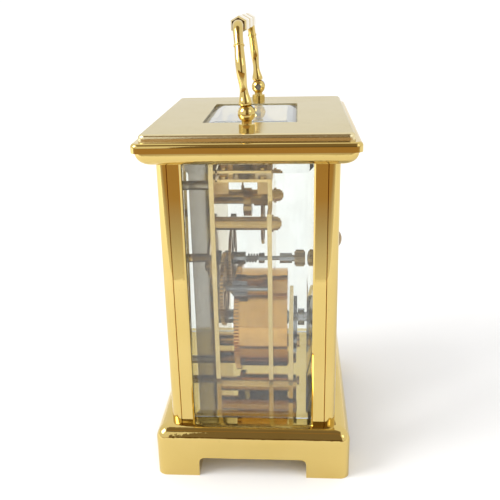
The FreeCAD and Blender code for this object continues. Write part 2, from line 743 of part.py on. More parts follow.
def make_grip():
    """Hexagonal grip: three beads with necks between them."""
    body = new_body("handle_grip", 0, "-handle_rise * sin(handle_lean * 1deg)",
                    "pivot_z + handle_rise * cos(handle_lean * 1deg)", ALONG_X)
    third = "(grip_half / 3)"
    for number, middle in enumerate((f"-2 * {third}", "0", f"2 * {third}")):
        sections = []
        for share_along, size in ((-0.96, 0.78), (-0.8, 0.96), (0.0, 1.0), (0.8, 0.96), (0.96, 0.78)):
            sketch = new_sketch(body, offset=f"{middle} + {share_along} * {third}")
            outline(sketch, [(f"grip_radius * {size} * cos({60 * n}deg)",
                            f"grip_radius * {size} * sin({60 * n}deg)")
                             for n in range(6)])
            sections.append(sketch)
        loft(body, sections).Ruled = True
    sketch = new_sketch(body, offset="-grip_half + 0.03")
    circles(sketch, [("0", "0")], "1.75")
    pad(body, sketch, "2 * grip_half - 0.06")
    bore(body, [("0", "0")], "0.95", "grip_half", "4.2")
    bore(body, [("0", "0")], "0.95", "-grip_half", "4.2", away=True)
    return body


# ---- movement frame -------------------------------------------------------------------------------

BARREL = ("0", "barrel_z")
SECOND = ("second_x", "second_z")
CENTRE = ("0", "centre_z")
THIRD = ("third_x", "third_z")
CONTRATE = ("0", "contrate_z")
UPPER_POSTS = (("upper_post_x", "upper_post_z"), ("-upper_post_x", "upper_post_z"))
LOWER_POSTS = (("lower_post_x", "lower_post_z"), ("-lower_post_x", "lower_post_z"))
PIVOT = "0.5"
PIVOT_HOLE = "0.55"


def y_plate(label, front, low, high, half):
    """An upright plate: local Z runs to the back, local Y down."""
    body = new_body(label, 0, front, 0, ALONG_Y)
    sketch = new_sketch(body)
    rectangle(sketch, f"-({half})", half, f"-({high})", f"-({low})")
    pad(body, sketch, "plate_thick")
    return body


def holes(body, centres, radius):
    bore(body, [(x, f"-({z})") for x, z in centres], radius)


def make_plates():
    front = y_plate("front_plate", "front_plate_y - plate_thick", "base_top", "front_plate_top", "movement_x")
    holes(front, UPPER_POSTS + LOWER_POSTS, "1.2")
    holes(front, (SECOND, THIRD, CONTRATE), PIVOT_HOLE)
    holes(front, (CENTRE,), "1.25")
    holes(front, (BARREL,), "1.55")
    stud = new_sketch(front, offset="-4.2")
    circles(stud, [("minute_x", "-centre_z")], "0.5")
    pad(front, stud, "4.3")
    back = y_plate("back_plate", "back_plate_y", "base_top", "back_plate_top", "movement_x")
    tongue = new_sketch(back)
    rectangle(tongue, "-platform_x", "platform_x", "-platform_z", "1 - back_plate_top")
    pad(back, tongue, "plate_thick")
    holes(back, UPPER_POSTS + LOWER_POSTS, "1.2")
    holes(back, (SECOND, THIRD, CONTRATE), PIVOT_HOLE)
    holes(back, (CENTRE,), "0.85")
    holes(back, (BARREL,), "drum_radius + 0.5")
    bridge = y_plate("barrel_bridge", "bridge_y", "base_top + 1", "bridge_top", "movement_x")
    holes(bridge, LOWER_POSTS, "1.2")
    holes(bridge, (BARREL,), "2.05")
    holes(bridge, (CLICK, SPRING_SCREW), "0.9")


def y_turned(label, front, spots, steps, hole=None):
    """The same turned piece at several places, each along Y."""
    members = []
    for number, (x, z) in enumerate(spots, start=1):
        body = new_body(f"{label}_{number}", x, front, z, ALONG_Y)
        shaft(body, steps[0], steps[1])
        if hole:
            bore(body, [("0", "0")], *hole)
        members.append(body)
    return members


def make_posts():
    span = "back_plate_y - front_plate_y"
    thick = "plate_thick"
    group("upper_pillars", y_turned("upper_pillar", "front_plate_y", UPPER_POSTS, (
        "-plate_thick", [("0", "1.2"), (span, "upper_post_r"), (f"{span} + {thick} + 2.4", "1.2")])))
    long = y_turned("lower_pillar", "front_plate_y", LOWER_POSTS, (
        "-plate_thick", [("0", "1.2"), (span, "lower_post_r"), (f"{span} + {thick}", "1.2")]))
    for pillar in long:
        bore(pillar, [("0", "-3 - front_plate_y")], "1.25", "-0.8", "lower_post_r", "XZ_Plane")
    short = y_turned("bridge_pillar", "back_plate_y + plate_thick", LOWER_POSTS, (
        "0", [("bridge_y - back_plate_y - plate_thick", "lower_post_r"), ("bridge_y - back_plate_y", "1.2")]))
    group("lower_pillars", long + short)


def make_fasteners():
    """Pillar nuts and the screws of the barrel bridge, its click and the platform."""
    nuts = y_turned("pillar_nut", "back_plate_y + plate_thick", UPPER_POSTS, (
        "0", [("0.5", "2.9"), ("2.0", "2.3"), ("2.7", "1.8"), ("3.1", "1.0")]),
        ("1.2", 0, "2.5", "XY_Plane", True))
    heads = y_turned("bridge_screw", "bridge_y + plate_thick", LOWER_POSTS, (
        "0", [("0.9", "2.1"), ("1.1", "1.9")]))
    studs = y_turned("click_screw", "bridge_y", (CLICK, SPRING_SCREW), (
        "0", [("plate_thick + 1.4", "0.9"), ("plate_thick + 2.3", "1.7")]))
    fixings = new_body("platform_screw")
    for bottom, radius, height in ((FLOOR, "1.4", "0.8"), ("platform_z - 3", "0.78", "platform_thick + 3")):
        sketch = new_sketch(fixings, offset=bottom)
        circles(sketch, PLATFORM_CORNERS, radius)
        pad(fixings, sketch, height)
    group("movement_screws", nuts + heads + studs + [fixings])


# ---- mainspring barrel and winding ----------------------------------------------------------------

CLICK = ("8.6", "34.4")
SPRING_SCREW = ("-8.6", "27.5")
RATCHET_FRONT = "bridge_y + plate_thick + 0.1"
CLICK_LIFT = 0.2


def make_barrel():
    great = share("great_teeth", "second_leaves", between(BARREL, SECOND))
    body = new_body("barrel", "0", "great_front", "barrel_z", facing(BARREL, SECOND, "great_teeth", False))
    solid = rim_radius(great, "great_teeth", WHEEL_TOOTH)
    wall = "0.9"
    depth = "drum_back - great_front"
    revolve(body, [
        ("2.65", "0"), (solid, "0"), (solid, "great_thick"), ("drum_radius", "great_thick"),
        ("drum_radius", depth), (f"drum_radius - {wall}", depth), (f"drum_radius - {wall}", "1.2"),
        ("2.65", "1.2"),
    ])
    add_teeth(body, WHEEL_TOOTH, great, "great_teeth", "great_thick")

    cover = new_body("barrel_cover", "0", "drum_back - 1.1", "barrel_z", ALONG_Y)
    disc_with_bore(cover, f"drum_radius - {wall}", "2.65", "1.0")

    arbor = new_body("barrel_arbor", "0", "front_plate_y - plate_thick", "barrel_z", ALONG_Y)
    back = "front_plate_y - plate_thick"
    shaft(arbor, "0", [
        ("plate_thick + 0.2", "1.5"), (f"drum_back + 0.3 - ({back})", "2.6"),
        (f"bridge_y + plate_thick - ({back})", "2.0"), (f"bridge_y + plate_thick + 1.6 - ({back})", "1.6"),
        (f"bridge_y + plate_thick + 4.1 - ({back})", "3.1"),
    ])
    square = new_sketch(arbor, offset=f"bridge_y + plate_thick + 4.0 - ({back})")
    rectangle(square, "-1.3", "1.3", "-1.3", "1.3")
    pad(arbor, square, "3.2")
    inner, outer = 3.1, value("drum_radius") - 1.25
    strip = spiral_strip(inner, outer, 22, 0.25, value("drum_back") - value("great_front") - 3.2)
    from_shape("mainspring", strip, "0", "great_front + 1.6", "barrel_z", ALONG_Y)


def make_ratchet():
    body = new_body("ratchet_wheel", "0", RATCHET_FRONT, "barrel_z", ALONG_Y)
    root = "(ratchet_radius - 0.9)"
    disc_with_bore(body, root, "1.62", "1.3")
    step = "360deg / ratchet_teeth"
    sketch = new_sketch(body)
    outline(sketch, [
        (f"({root} - 0.1) * cos({step})", f"-({root} - 0.1) * sin({step})"), ("ratchet_radius", "-0.15"),
        ("ratchet_radius", "0"), (f"{root} - 0.1", "0"),
    ])
    tooth = pad(body, sketch, "1.3")
    polar(body, tooth, "ratchet_teeth")

    click = new_body("click", CLICK[0], RATCHET_FRONT, CLICK[1], ALONG_Y)
    away = math.atan2(-(value("barrel_z") - value(CLICK[1])), -value(CLICK[0]))
    reach = math.hypot(value(CLICK[0]), value("barrel_z") - value(CLICK[1])) - value("ratchet_radius")
    nose = reach - CLICK_LIFT
    across = V(math.cos(away), math.sin(away), 0)
    side = V(-across.y, across.x, 0)
    sketch = new_sketch(click)
    corners = [across * nose + side * 0.5, side * 2.2 + across * 0.6, side * 4.6 - across * 1.2,
               side * 4.2 - across * 2.3, side * -1.2 - across * 2.0, side * -1.9 + across * 0.4]
    outline(sketch, [(f"{corner.x:.4f}", f"{corner.y:.4f}") for corner in corners])
    pad(click, sketch, "1.2")
    bore(click, [("0", "0")], "0.95")
    make_click_spring()


def make_click_spring():
    """A blade held by its own screw, its tip just clear of the click's tail."""
    body = new_body("click_spring", SPRING_SCREW[0], "bridge_y + plate_thick", SPRING_SCREW[1], ALONG_Y)
    sketch = new_sketch(body)
    outline(sketch, [
        ("-2.2", "-1.4"), ("0", "-2.2"), ("2.2", "-1.2"), ("17.4", "-3.4"), ("17.5", "-2.9"),
        ("2.4", "1.0"), ("0", "2.2"), ("-2.2", "1.4"),
    ])
    pad(body, sketch, "1.2")
    bore(body, [("0", "0")], "0.95")


# ---- going train ----------------------------------------------------------------------------------

def make_train():
    """Second, centre and third wheels, with their pinions in mesh at rest."""
    front, back = "(front_plate_y - plate_thick)", "(back_plate_y + plate_thick)"
    barrel_second = between(BARREL, SECOND)
    second_centre = between(SECOND, CENTRE)
    centre_third = between(CENTRE, THIRD)
    third_contrate = between(THIRD, CONTRATE)

    leaf_front = "(great_front - 0.3)"
    pinion("second_arbor", SECOND, leaf_front, "5.0", share("second_leaves", "great_teeth", barrel_second),
           "second_leaves", facing(SECOND, BARREL, "second_leaves", True),
           (f"{front} - {leaf_front}", [(f"front_plate_y + 0.2 - {leaf_front}", PIVOT), ("0", "0.9"),
                                        ("5.0", "1.5"), (f"back_plate_y - 0.2 - {leaf_front}", "0.9"),
                                        (f"{back} - {leaf_front}", PIVOT)]))
    wheel("second_wheel", SECOND, "-10.8", "1.2", share("second_teeth", "centre_leaves", second_centre),
          "second_teeth", "0.92", facing(SECOND, CENTRE, "second_teeth", False))

    pinion("centre_pinion", CENTRE, "-11.2", "2.0", share("centre_leaves", "second_teeth", second_centre),
           "centre_leaves", facing(CENTRE, SECOND, "centre_leaves", True),
           ("0", [("2.0", "1.6"), ("7.5", "2.3")]), hole="0.85")
    wheel("centre_wheel", CENTRE, "-8.9", "1.0", share("centre_teeth", "third_leaves", centre_third),
          "centre_teeth", "2.32", facing(CENTRE, THIRD, "centre_teeth", False), hub="3.6")

    leaf_front = "-9.3"
    pinion("third_arbor", THIRD, leaf_front, "2.0", share("third_leaves", "centre_teeth", centre_third),
           "third_leaves", facing(THIRD, CENTRE, "third_leaves", True),
           (f"{front} - {leaf_front}", [(f"front_plate_y + 0.2 - {leaf_front}", PIVOT), ("0", "0.7"),
                                        ("2.0", "1.0"), (f"back_plate_y - 0.2 - {leaf_front}", "0.7"),
                                        (f"{back} - {leaf_front}", PIVOT)]))
    wheel("third_wheel", THIRD, "2.0", "0.9", share("third_teeth", "contrate_leaves", third_contrate),
          "third_teeth", "0.72", facing(THIRD, CONTRATE, "third_teeth", False), hub="1.8", rim="1.2")

    leaf_front = "-0.4"
    arbor = pinion("contrate_arbor", CONTRATE, leaf_front, "4.9",
                    share("contrate_leaves", "third_teeth", third_contrate),
           "contrate_leaves", facing(CONTRATE, THIRD, "contrate_leaves", True),
           (f"{front} - {leaf_front}", [(f"front_plate_y + 0.2 - {leaf_front}", PIVOT), ("0", "0.7"),
                                        ("4.9", "0.75"), (f"back_plate_y - 0.2 - {leaf_front}", "0.7"),
                                        (f"{back} - {leaf_front}", PIVOT)]))
    group("contrate_wheel", [make_contrate_crown(), arbor])


def make_contrate_crown():
    """Crown wheel: its teeth stand on the front face of a rim."""
    body = new_body("contrate_crown", "0", "-1.1", CONTRATE[1],
                    ALONG_Y.multiply(FreeCAD.Rotation(V(1, 0, 0), 180))
                    .multiply(FreeCAD.Rotation(V(0, 0, 1), 90)))
    height = "(-1.1 - contrate_face)"
    outer, inner = "contrate_radius + 0.3", "contrate_radius - 0.3"
    revolve(body, [
        ("0.72", "0"), (outer, "0"), (outer, height), (inner, height), (inner, "0.7"), ("0.72", "0.7"),
    ])
    sketch = new_sketch(body)
    outline(sketch, [("1.9", "-1.1"), ("contrate_radius - 1.0", "-1.5"), ("contrate_radius - 1.0", "1.5"),
                     ("1.9", "1.1")])
    polar(body, pocket(body, sketch), 4)
    tooth = "0.17 * 2 * pi * contrate_radius / contrate_teeth"
    sketch = new_sketch(body, offset=f"{height} - 0.05")
    rectangle(sketch, inner, outer, f"-{tooth}", tooth)
    polar(body, pad(body, sketch, "0.35"), "contrate_teeth")
    return body


def make_centre():
    """Centre arbor with its friction spring and the knob that sets the hands from the back."""
    front = "dial_y - 2.2"
    arbor = new_body("centre_arbor", "0", front, "centre_z", ALONG_Y)
    shaft(arbor, "0", [
        (f"front_plate_y - plate_thick - ({front})", "0.6"), (f"1.0 - ({front})", "0.78"),
        (f"3.1 - ({front})", "1.9"), (f"8.6 - ({front})", "0.78"), (f"13.0 - ({front})", "1.85"),
        (f"14.0 - ({front})", "1.2"),
    ])
    coil = Part.makeHelix(1.0, 4.0, 1.45)
    start = V(1.45, 0, 0)
    section = Part.Wire(Part.makeCircle(0.28, start, V(0, 1, 0.12)))
    spring = Part.Wire(coil.Edges).makePipeShell([section], True, True)
    from_shape("friction_spring", spring, "0", "-3.33", "centre_z", ALONG_Y)

    knob = new_body("setting_knob", "0", "13.9", "centre_z", ALONG_Y)
    shaft(knob, "0", [("0.4", "2.5"), ("3.4", "2.85"), ("3.8", "2.5")])
    bore(knob, [("0", "0")], "1.2", 0, "0.12", away=True)
    sketch = new_sketch(knob, offset="0.4")
    outline(sketch, [("2.7", "-0.25"), ("3.05", "0"), ("2.7", "0.25")])
    polar(knob, pad(knob, sketch, "3.0"), "24")


# ---- platform escapement --------------------------------------------------------------------------

FLOOR = "(platform_z + platform_thick)"
BRIDGE_Z = f"({FLOOR} + 2.9)"
COCK_Z = f"({FLOOR} + 6.0)"
STUD = "0.25"
JEWEL = "0.3"
PLATFORM_CORNERS = [(f"{side} * (platform_x - 1.7)", y) for side in (1, -1) for y in ("-9.6", "3.4")]


def block(body, left, right, near, far, bottom, height):
    sketch = new_sketch(body, offset=bottom)
    rectangle(sketch, left, right, near, far)
    return pad(body, sketch, height)


def make_platform():
    near, far = "(front_plate_y + 0.3)", "(back_plate_y + 1.3)"
    body = new_body("platform")
    block(body, "-platform_x", "platform_x", near, far, "platform_z", "platform_thick")
    bore(body, [("0", "escape_y")], "0.9")
    bore(body, [("lever_x", "lever_y"), ("balance_x", "balance_y")], JEWEL)
    bore(body, PLATFORM_CORNERS, "0.8")

    brackets = new_body("platform_brackets")
    for side in (1, -1):
        low, high = sorted((f"{side} * (platform_x - 3.2)", f"{side} * (platform_x - 0.4)"), key=value)
        for near_end, far_end in (("front_plate_y", "front_plate_y + 4"),
                                  ("back_plate_y - 3.4", "back_plate_y")):
            block(brackets, low, high, near_end, far_end, "platform_z - 4", "4")
    bore(brackets, PLATFORM_CORNERS, "0.8", "platform_z", "3.5")

    cock = new_body("escape_cock")
    block(cock, "-9.0", "-5.4", "-6.2", "-2.2", FLOOR, "2.9")
    sketch = new_sketch(cock, offset=BRIDGE_Z)
    outline(sketch, [("-9.0", "-6.2"), ("-5.0", "-6.2"), ("1.0", "escape_y - 1.2"), ("5.0", "lever_y - 0.9"),
                     ("4.6", "lever_y + 1.1"), ("-5.4", "-2.2"), ("-9.0", "-2.2")])
    pad(cock, sketch, "0.8")
    bore(cock, [("0", "escape_y"), ("lever_x", "lever_y")], JEWEL)

    bridge = new_body("balance_cock")
    block(bridge, "4.2", "10.8", "-10.8", "-6.6", FLOOR, f"{COCK_Z} - {FLOOR}")
    sketch = new_sketch(bridge, offset=COCK_Z)
    outline(sketch, [("4.2", "-10.8"), ("10.8", "-10.8"), ("10.8", "-6.6"),
                    ("balance_x + 2", "balance_y", "2"),
                     ("balance_x", "balance_y + 2", "2"), ("balance_x - 2", "balance_y"), ("4.2", "-6.6")])
    pad(bridge, sketch, "1.2")
    sketch = new_sketch(bridge, offset=f"{COCK_Z} + 1.1")
    circles(sketch, [("balance_x", "balance_y")], "0.85")
    pad(bridge, sketch, "0.6")
    bore(bridge, [("balance_x", "balance_y")], JEWEL)

    index = new_body("regulator", "balance_x", "balance_y", f"{COCK_Z} + 1.2")
    sketch = new_sketch(index)
    outline(sketch, [("-1.0", "-1.4"), ("1.0", "-1.4"), ("0.35", "-2.0"), ("0.25", "-5.4"), ("-0.25", "-5.4"),
                     ("-0.35", "-2.0")])
    pad(index, sketch, "0.3")
    sketch = new_sketch(index)
    circles(sketch, [("0", "0")], "1.7")
    pad(index, sketch, "0.3")
    bore(index, [("0", "0")], "0.9")


def make_escapement():
    low = f"(contrate_z + 3.8 - {FLOOR})"
    wheel_level = "0.9"
    gap_forward = FreeCAD.Rotation(V(0, 0, 1), 90 + 180 / value("escape_leaves"))
    arbor = new_body("escape_arbor", "0", "escape_y", FLOOR, gap_forward)
    shaft(arbor, low, [("-(platform_thick + 0.4)", "0.3"), (wheel_level, "0.5"), ("2.7", "0.45"),
                       ("3.7", STUD)])
    radius = "(contrate_radius * escape_leaves / contrate_teeth)"
    add_teeth(arbor, PINION_LEAF, radius, "escape_leaves", "2.2", low)

    wheel_body = new_body("escape_ring", "0", "escape_y", f"{FLOOR} + {wheel_level}")
    disc_with_bore(wheel_body, "escape_radius - 0.8", "0.5", "0.4")
    cross_out(wheel_body, 4, "1.0", "escape_radius - 1.3", "0.22")
    sketch = new_sketch(wheel_body)
    outline(sketch, [("escape_radius - 0.85", "-0.35"), ("escape_radius", "-0.05"),
                    ("escape_radius - 0.05", "0.2"),
                     ("escape_radius - 0.85", "0.1")])
    polar(wheel_body, pad(wheel_body, sketch, "0.4"), "escape_teeth")
    group("escape_wheel", [wheel_body, arbor])

    turn = math.degrees(math.atan2(value("balance_y - escape_y"), value("balance_x")))
    lever = new_body("lever", "lever_x", "lever_y", f"{FLOOR} + 0.8", FreeCAD.Rotation(V(0, 0, 1), turn))
    sketch = new_sketch(lever)
    outline(sketch, [
        ("-1.5", "2.0"), ("-1.1", "1.9"), ("-0.4", "0.5"), ("2.6", "0.3"), ("3.1", "0.6"), ("3.9", "0.5"),
        ("3.9", "0.22"), ("3.3", "0.22"), ("3.3", "-0.22"),
        ("3.9", "-0.22"), ("3.9", "-0.5"), ("3.1", "-0.6"),
        ("2.6", "-0.3"), ("-0.4", "-0.5"), ("-1.1", "-1.9"), ("-1.5", "-2.0"), ("-1.45", "-2.5"),
        ("-0.8", "-2.4"), ("-0.1", "-0.9"), ("-0.1", "0.9"), ("-0.8", "2.4"), ("-1.45", "2.5"),
    ])
    pad(lever, sketch, "0.5")
    sketch = new_sketch(lever, offset="-2.0")
    circles(sketch, [("0", "0")], STUD)
    pad(lever, sketch, "4.8")

    balance = new_body("balance", "balance_x", "balance_y", FLOOR)
    revolve(balance, [
        ("0", "-1.2"), (STUD, "-1.2"), (STUD, "0.2"), ("0.4", "0.2"), ("0.4", "1.9"), ("1.2", "1.9"),
        ("1.2", "2.2"), ("0.5", "2.2"), ("0.5", "5.4"), (STUD, "5.6"), (STUD, "7.0"), ("0", "7.0"),
    ])
    sketch = new_sketch(balance, offset="4.0")
    circles(sketch, [("0", "0")], "balance_radius")
    circles(sketch, [("0", "0")], "balance_radius - 0.8")
    pad(balance, sketch, "0.9")
    block(balance, "-balance_radius + 0.4", "balance_radius - 0.4", "-0.4", "0.4", "4.1", "0.5")
    sketch = new_sketch(balance, offset="1.45")
    across = f"3.55 - {between(('lever_x', 'lever_y'), ('balance_x', 'balance_y'))}"
    circles(sketch, [(f"({across}) * cos({turn:.4f}deg)", f"({across}) * sin({turn:.4f}deg)")], "0.15")
    pad(balance, sketch, "0.5")
    strip = spiral_strip(0.75, 3.4, 9, 0.1, 0.35)
    from_shape("hairspring", strip, "balance_x", "balance_y", f"{FLOOR} + 5.1")


# ---- dial and motion work -------------------------------------------------------------------------

def make_dial_side():
    stud = ("minute_x", "centre_z")
    face = "(front_plate_y - plate_thick)"
    first = between(CENTRE, stud)
    pinion("cannon_pinion", CENTRE, f"{face} - 1.8", "1.4", share("cannon_leaves", "minute_teeth", first),
           "cannon_leaves", facing(CENTRE, stud, "cannon_leaves", True),
           (f"dial_y - 1.8 - ({face} - 1.8)", [("0", "0.95"), ("1.4", "1.0")]), hole="0.6")
    large = wheel("minute_ring", stud, f"{face} - 1.6", "0.9", share("minute_teeth", "cannon_leaves", first),
                  "minute_teeth", "0.78", facing(stud, CENTRE, "minute_teeth", False), spokes=0)
    small = pinion("minute_pinion", stud, f"{face} - 3.9", "2.2", share("minute_leaves", "hour_teeth", first),
                   "minute_leaves", facing(stud, CENTRE, "minute_leaves", True),
                   ("0", [("2.2", "1.1"), ("3.3", "0.78")]), hole="0.55")
    group("minute_wheel", [large, small])
    hour = wheel("hour_wheel", CENTRE, f"{face} - 3.7", "0.9", share("hour_teeth", "minute_leaves", first),
                 "hour_teeth", "1.0", facing(CENTRE, stud, "hour_teeth", False), spokes=0)
    pipe = new_sketch(hour, offset=f"dial_y - 0.9 - ({face} - 3.7)")
    circles(pipe, [("0", "0")], "1.6")
    circles(pipe, [("0", "0")], "1.0")
    tube = feature(hour, "Pad", pipe)
    bind(tube, "Length", f"{face} - 3.7 - (dial_y - 0.9) + 0.5")
    hour.Tip = tube
    dial = new_body("dial_face", "0", "dial_y", "0", ALONG_Y)
    sketch = new_sketch(dial)
    rectangle(sketch, "-dial_x", "dial_x", "-(pillar_top - 0.3)", "-(base_top + 0.3)")
    pad(dial, sketch, "dial_thick")
    bore(dial, [("0", "-centre_z")], "2.2")
    feet = (("0", "22.3"), ("-19", "96"), ("19", "96"))
    lengths = ("0", [(f"{face} - (dial_y + dial_thick)", "1.5")])
    group("dial", [dial] + y_turned("dial_foot", "dial_y + dial_thick", feet, lengths))
    make_hands()


def make_hands():
    hour = new_body("hour_hand", "0", "dial_y - 0.9", "centre_z", ALONG_Y)
    sketch = new_sketch(hour)
    reach = "-hour_length"
    outline(sketch, [("-0.7", "-1.5"), ("-0.5", f"{reach} * 0.5"), ("-1.7", f"{reach} * 0.68"),
                     ("-0.3", f"{reach} * 0.84"), ("0", reach), ("0.3", f"{reach} * 0.84"),
                     ("1.7", f"{reach} * 0.68"), ("0.5", f"{reach} * 0.5"), ("0.7", "-1.5")])
    pad(hour, sketch, "0.3")
    sketch = new_sketch(hour)
    circles(sketch, [("0", "0")], "2.4")
    pad(hour, sketch, "0.3")
    bore(hour, [("0", "0")], "1.6")

    minute = new_body("minute_hand", "0", "dial_y - 1.8", "centre_z",
                      ALONG_Y.multiply(FreeCAD.Rotation(V(0, 0, 1), 60)))
    sketch = new_sketch(minute)
    reach = "-minute_length"
    outline(sketch, [("-0.5", "-1.0"), ("-0.35", f"{reach} * 0.6"), ("-1.2", f"{reach} * 0.76"),
                     ("-0.2", f"{reach} * 0.88"), ("0", reach), ("0.2", f"{reach} * 0.88"),
                     ("1.2", f"{reach} * 0.76"), ("0.35", f"{reach} * 0.6"), ("0.5", "-1.0")])
    pad(minute, sketch, "0.3")
    sketch = new_sketch(minute)
    circles(sketch, [("0", "0")], "1.7")
    pad(minute, sketch, "0.3")
    bore(minute, [("0", "0")], "0.95")


# ---- build, check and write -----------------------------------------------------------------------

make_base()
screws("case_screws", (
    (SCREW_SPOTS, "7.2", "2.0", "base_top + 7", "1.18"),
    (SEAT_SPOTS, "foot_gap_top", "2.0", "lower_post_z - 1.0", "1.2"),
))
for label, sx, sy in (("pillar_back_right", 1, 1), ("pillar_back_left", -1, 1),
                      ("pillar_front_left", -1, -1), ("pillar_front_right", 1, -1)):
    make_pillar(label, sx, sy)
make_cornice()
make_top_plate()
make_glasses()
make_door()
make_post("handle_post_right", 1)
make_post("handle_post_left", -1)
make_pivots()
make_arm("handle_arm_right", 1)
make_arm("handle_arm_left", -1)
make_grip()
make_plates()
make_posts()
make_barrel()
make_ratchet()
make_train()
make_centre()
make_platform()
make_fasteners()
make_escapement()
make_dial_side()


def check():
    doc.recompute()
    bad = [item.Label for item in doc.Objects if {"Invalid", "Error"} & set(item.State)]
    for node in nodes:
        shape = node.Shape
        if shape.isNull() or not shape.isValid() or not shape.Solids or node.Label in bad:
            bad.append(node.Label)
    if bad:
        raise RuntimeError("failed: " + ", ".join(sorted(set(bad))))


check()
os.makedirs("parts", exist_ok=True)
for node in nodes:
    node.Shape.exportStep(f"parts/{node.Label}.step")
print(f"{len(nodes)} nodes written")
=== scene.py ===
import json
import math

import bpy
from mathutils import Matrix, Vector


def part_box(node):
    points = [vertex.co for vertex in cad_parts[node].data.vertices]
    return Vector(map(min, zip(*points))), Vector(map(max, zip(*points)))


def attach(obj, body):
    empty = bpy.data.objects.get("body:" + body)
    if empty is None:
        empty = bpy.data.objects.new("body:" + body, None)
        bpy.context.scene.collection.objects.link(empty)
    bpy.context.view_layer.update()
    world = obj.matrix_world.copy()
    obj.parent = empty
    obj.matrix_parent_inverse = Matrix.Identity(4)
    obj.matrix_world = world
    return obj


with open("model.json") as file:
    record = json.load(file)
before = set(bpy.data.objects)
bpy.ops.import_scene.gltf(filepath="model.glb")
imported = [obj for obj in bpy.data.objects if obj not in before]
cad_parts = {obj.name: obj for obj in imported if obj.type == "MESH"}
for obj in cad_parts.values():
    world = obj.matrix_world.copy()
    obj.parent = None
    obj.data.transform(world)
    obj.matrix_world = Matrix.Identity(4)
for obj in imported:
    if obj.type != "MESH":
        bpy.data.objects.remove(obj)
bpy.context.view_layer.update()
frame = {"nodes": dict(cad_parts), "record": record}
print("frame loaded:", len(frame["nodes"]), "nodes")


# ---- sockets and node trees ----

class Wire:
    # a socket that takes arithmetic; each operator adds its Math node
    def __init__(self, tree, socket):
        self.tree = tree
        self.socket = socket

    def math(self, operation, first, second):
        node = self.tree.nodes.new("ShaderNodeMath")
        node.operation = operation
        for slot, item in enumerate((first, second)):
            if isinstance(item, Wire):
                self.tree.links.new(item.socket, node.inputs[slot])
            else:
                node.inputs[slot].default_value = item
        return Wire(self.tree, node.outputs[0])

    def __add__(self, other): return self.math("ADD", self, other)
    def __radd__(self, other): return self.math("ADD", other, self)
    def __sub__(self, other): return self.math("SUBTRACT", self, other)
    def __rsub__(self, other): return self.math("SUBTRACT", other, self)
    def __mul__(self, other): return self.math("MULTIPLY", self, other)
    def __rmul__(self, other): return self.math("MULTIPLY", other, self)
    def __gt__(self, other): return self.math("GREATER_THAN", self, other)

    def clamp(self, low, high):
        return self.math("MINIMUM", self.math("MAXIMUM", self, low), high)


class Finish:
    # one material: add() makes any node from its type, settings and inputs
    def __init__(self, name):
        self.material = bpy.data.materials.new(name)
        self.material.use_nodes = True
        self.tree = self.material.node_tree
        self.tree.nodes.clear()
        self.output = self.tree.nodes.new("ShaderNodeOutputMaterial")

    def add(self, kind, settings=None, inputs=None):
        node = self.tree.nodes.new(kind)
        for key, item in (settings or {}).items():
            if key == "stops":
                ramp = node.color_ramp
                while len(ramp.elements) < len(item):
                    ramp.elements.new(0.5)
                for stop, (place, colour) in zip(ramp.elements, item):
                    stop.position = place
                    stop.color = colour
            else:
                setattr(node, key, item)
        for key, item in (inputs or {}).items():
            if isinstance(item, Wire):
                self.tree.links.new(item.socket, node.inputs[key])
            else:
                node.inputs[key].default_value = item
        return node

    def wire(self, node, output=0):
        return Wire(self.tree, node.outputs[output])

    def place(self, scale=(1, 1, 1), turn=(0, 0, 0)):
        coordinates = self.add("ShaderNodeTexCoord")
        mapping = self.add("ShaderNodeMapping", None, {
            "Vector": self.wire(coordinates, "Object"), "Scale": scale, "Rotation": turn})
        return self.wire(mapping)

    def noise(self, vector, scale, detail=3.0, roughness=0.5):
        node = self.add("ShaderNodeTexNoise", None, {
            "Vector": vector, "Scale": scale, "Detail": detail, "Roughness": roughness})
        return self.wire(node, "Fac")

    def mix(self, factor, first, second):
        node = self.add("ShaderNodeMix", {"data_type": "RGBA"}, {0: factor, 6: first, 7: second})
        return self.wire(node, 2)

    def bump(self, height, distance, strength=1.0):
        node = self.add("ShaderNodeBump", None, {
            "Height": height, "Distance": distance, "Strength": strength})
        return self.wire(node)

    def surface(self, inputs):
        shader = self.add("ShaderNodeBsdfPrincipled", None, inputs)
        self.tree.links.new(shader.outputs[0], self.output.inputs["Surface"])
        return self.material


def rgb(red, green, blue):
    return (red, green, blue, 1.0)


# ---- finishes ----
# sizes of noise are in cells per metre, bump depths in metres

giltLook = {
    "base": rgb(0.67, 0.50, 0.17), "deep": rgb(0.62, 0.45, 0.13), "edge": rgb(0.95, 0.92, 0.82),
    "paintedSheenBase": rgb(0.80, 0.69, 0.42), "paintedSheenDeep": rgb(0.75, 0.64, 0.37), "hazeEdge": rgb(0.74, 0.71, 0.60),
    "stain": rgb(0.30, 0.19, 0.06), "topHaze": 0.16, "roughness": 0.035, "haze": 0.05,
    "cloud": 55.0, "blotch": 420.0, "speck": 2600.0, "ripple": 230.0,
    "wipeLines": (60, 1100, 1100), "crossLines": (1300, 70, 900), "crossTurn": (0.3, 0.2, 0.5),
    "pitAbove": 0.735, "stainAbove": 0.70, "wipeAbove": 0.66, "crossAbove": 0.68,
    "coat": 0.35, "topCoat": 0.25, "coatRoughness": 0.03, "coatIor": 1.45, "bump": 0.00002, "strength": 0.5}


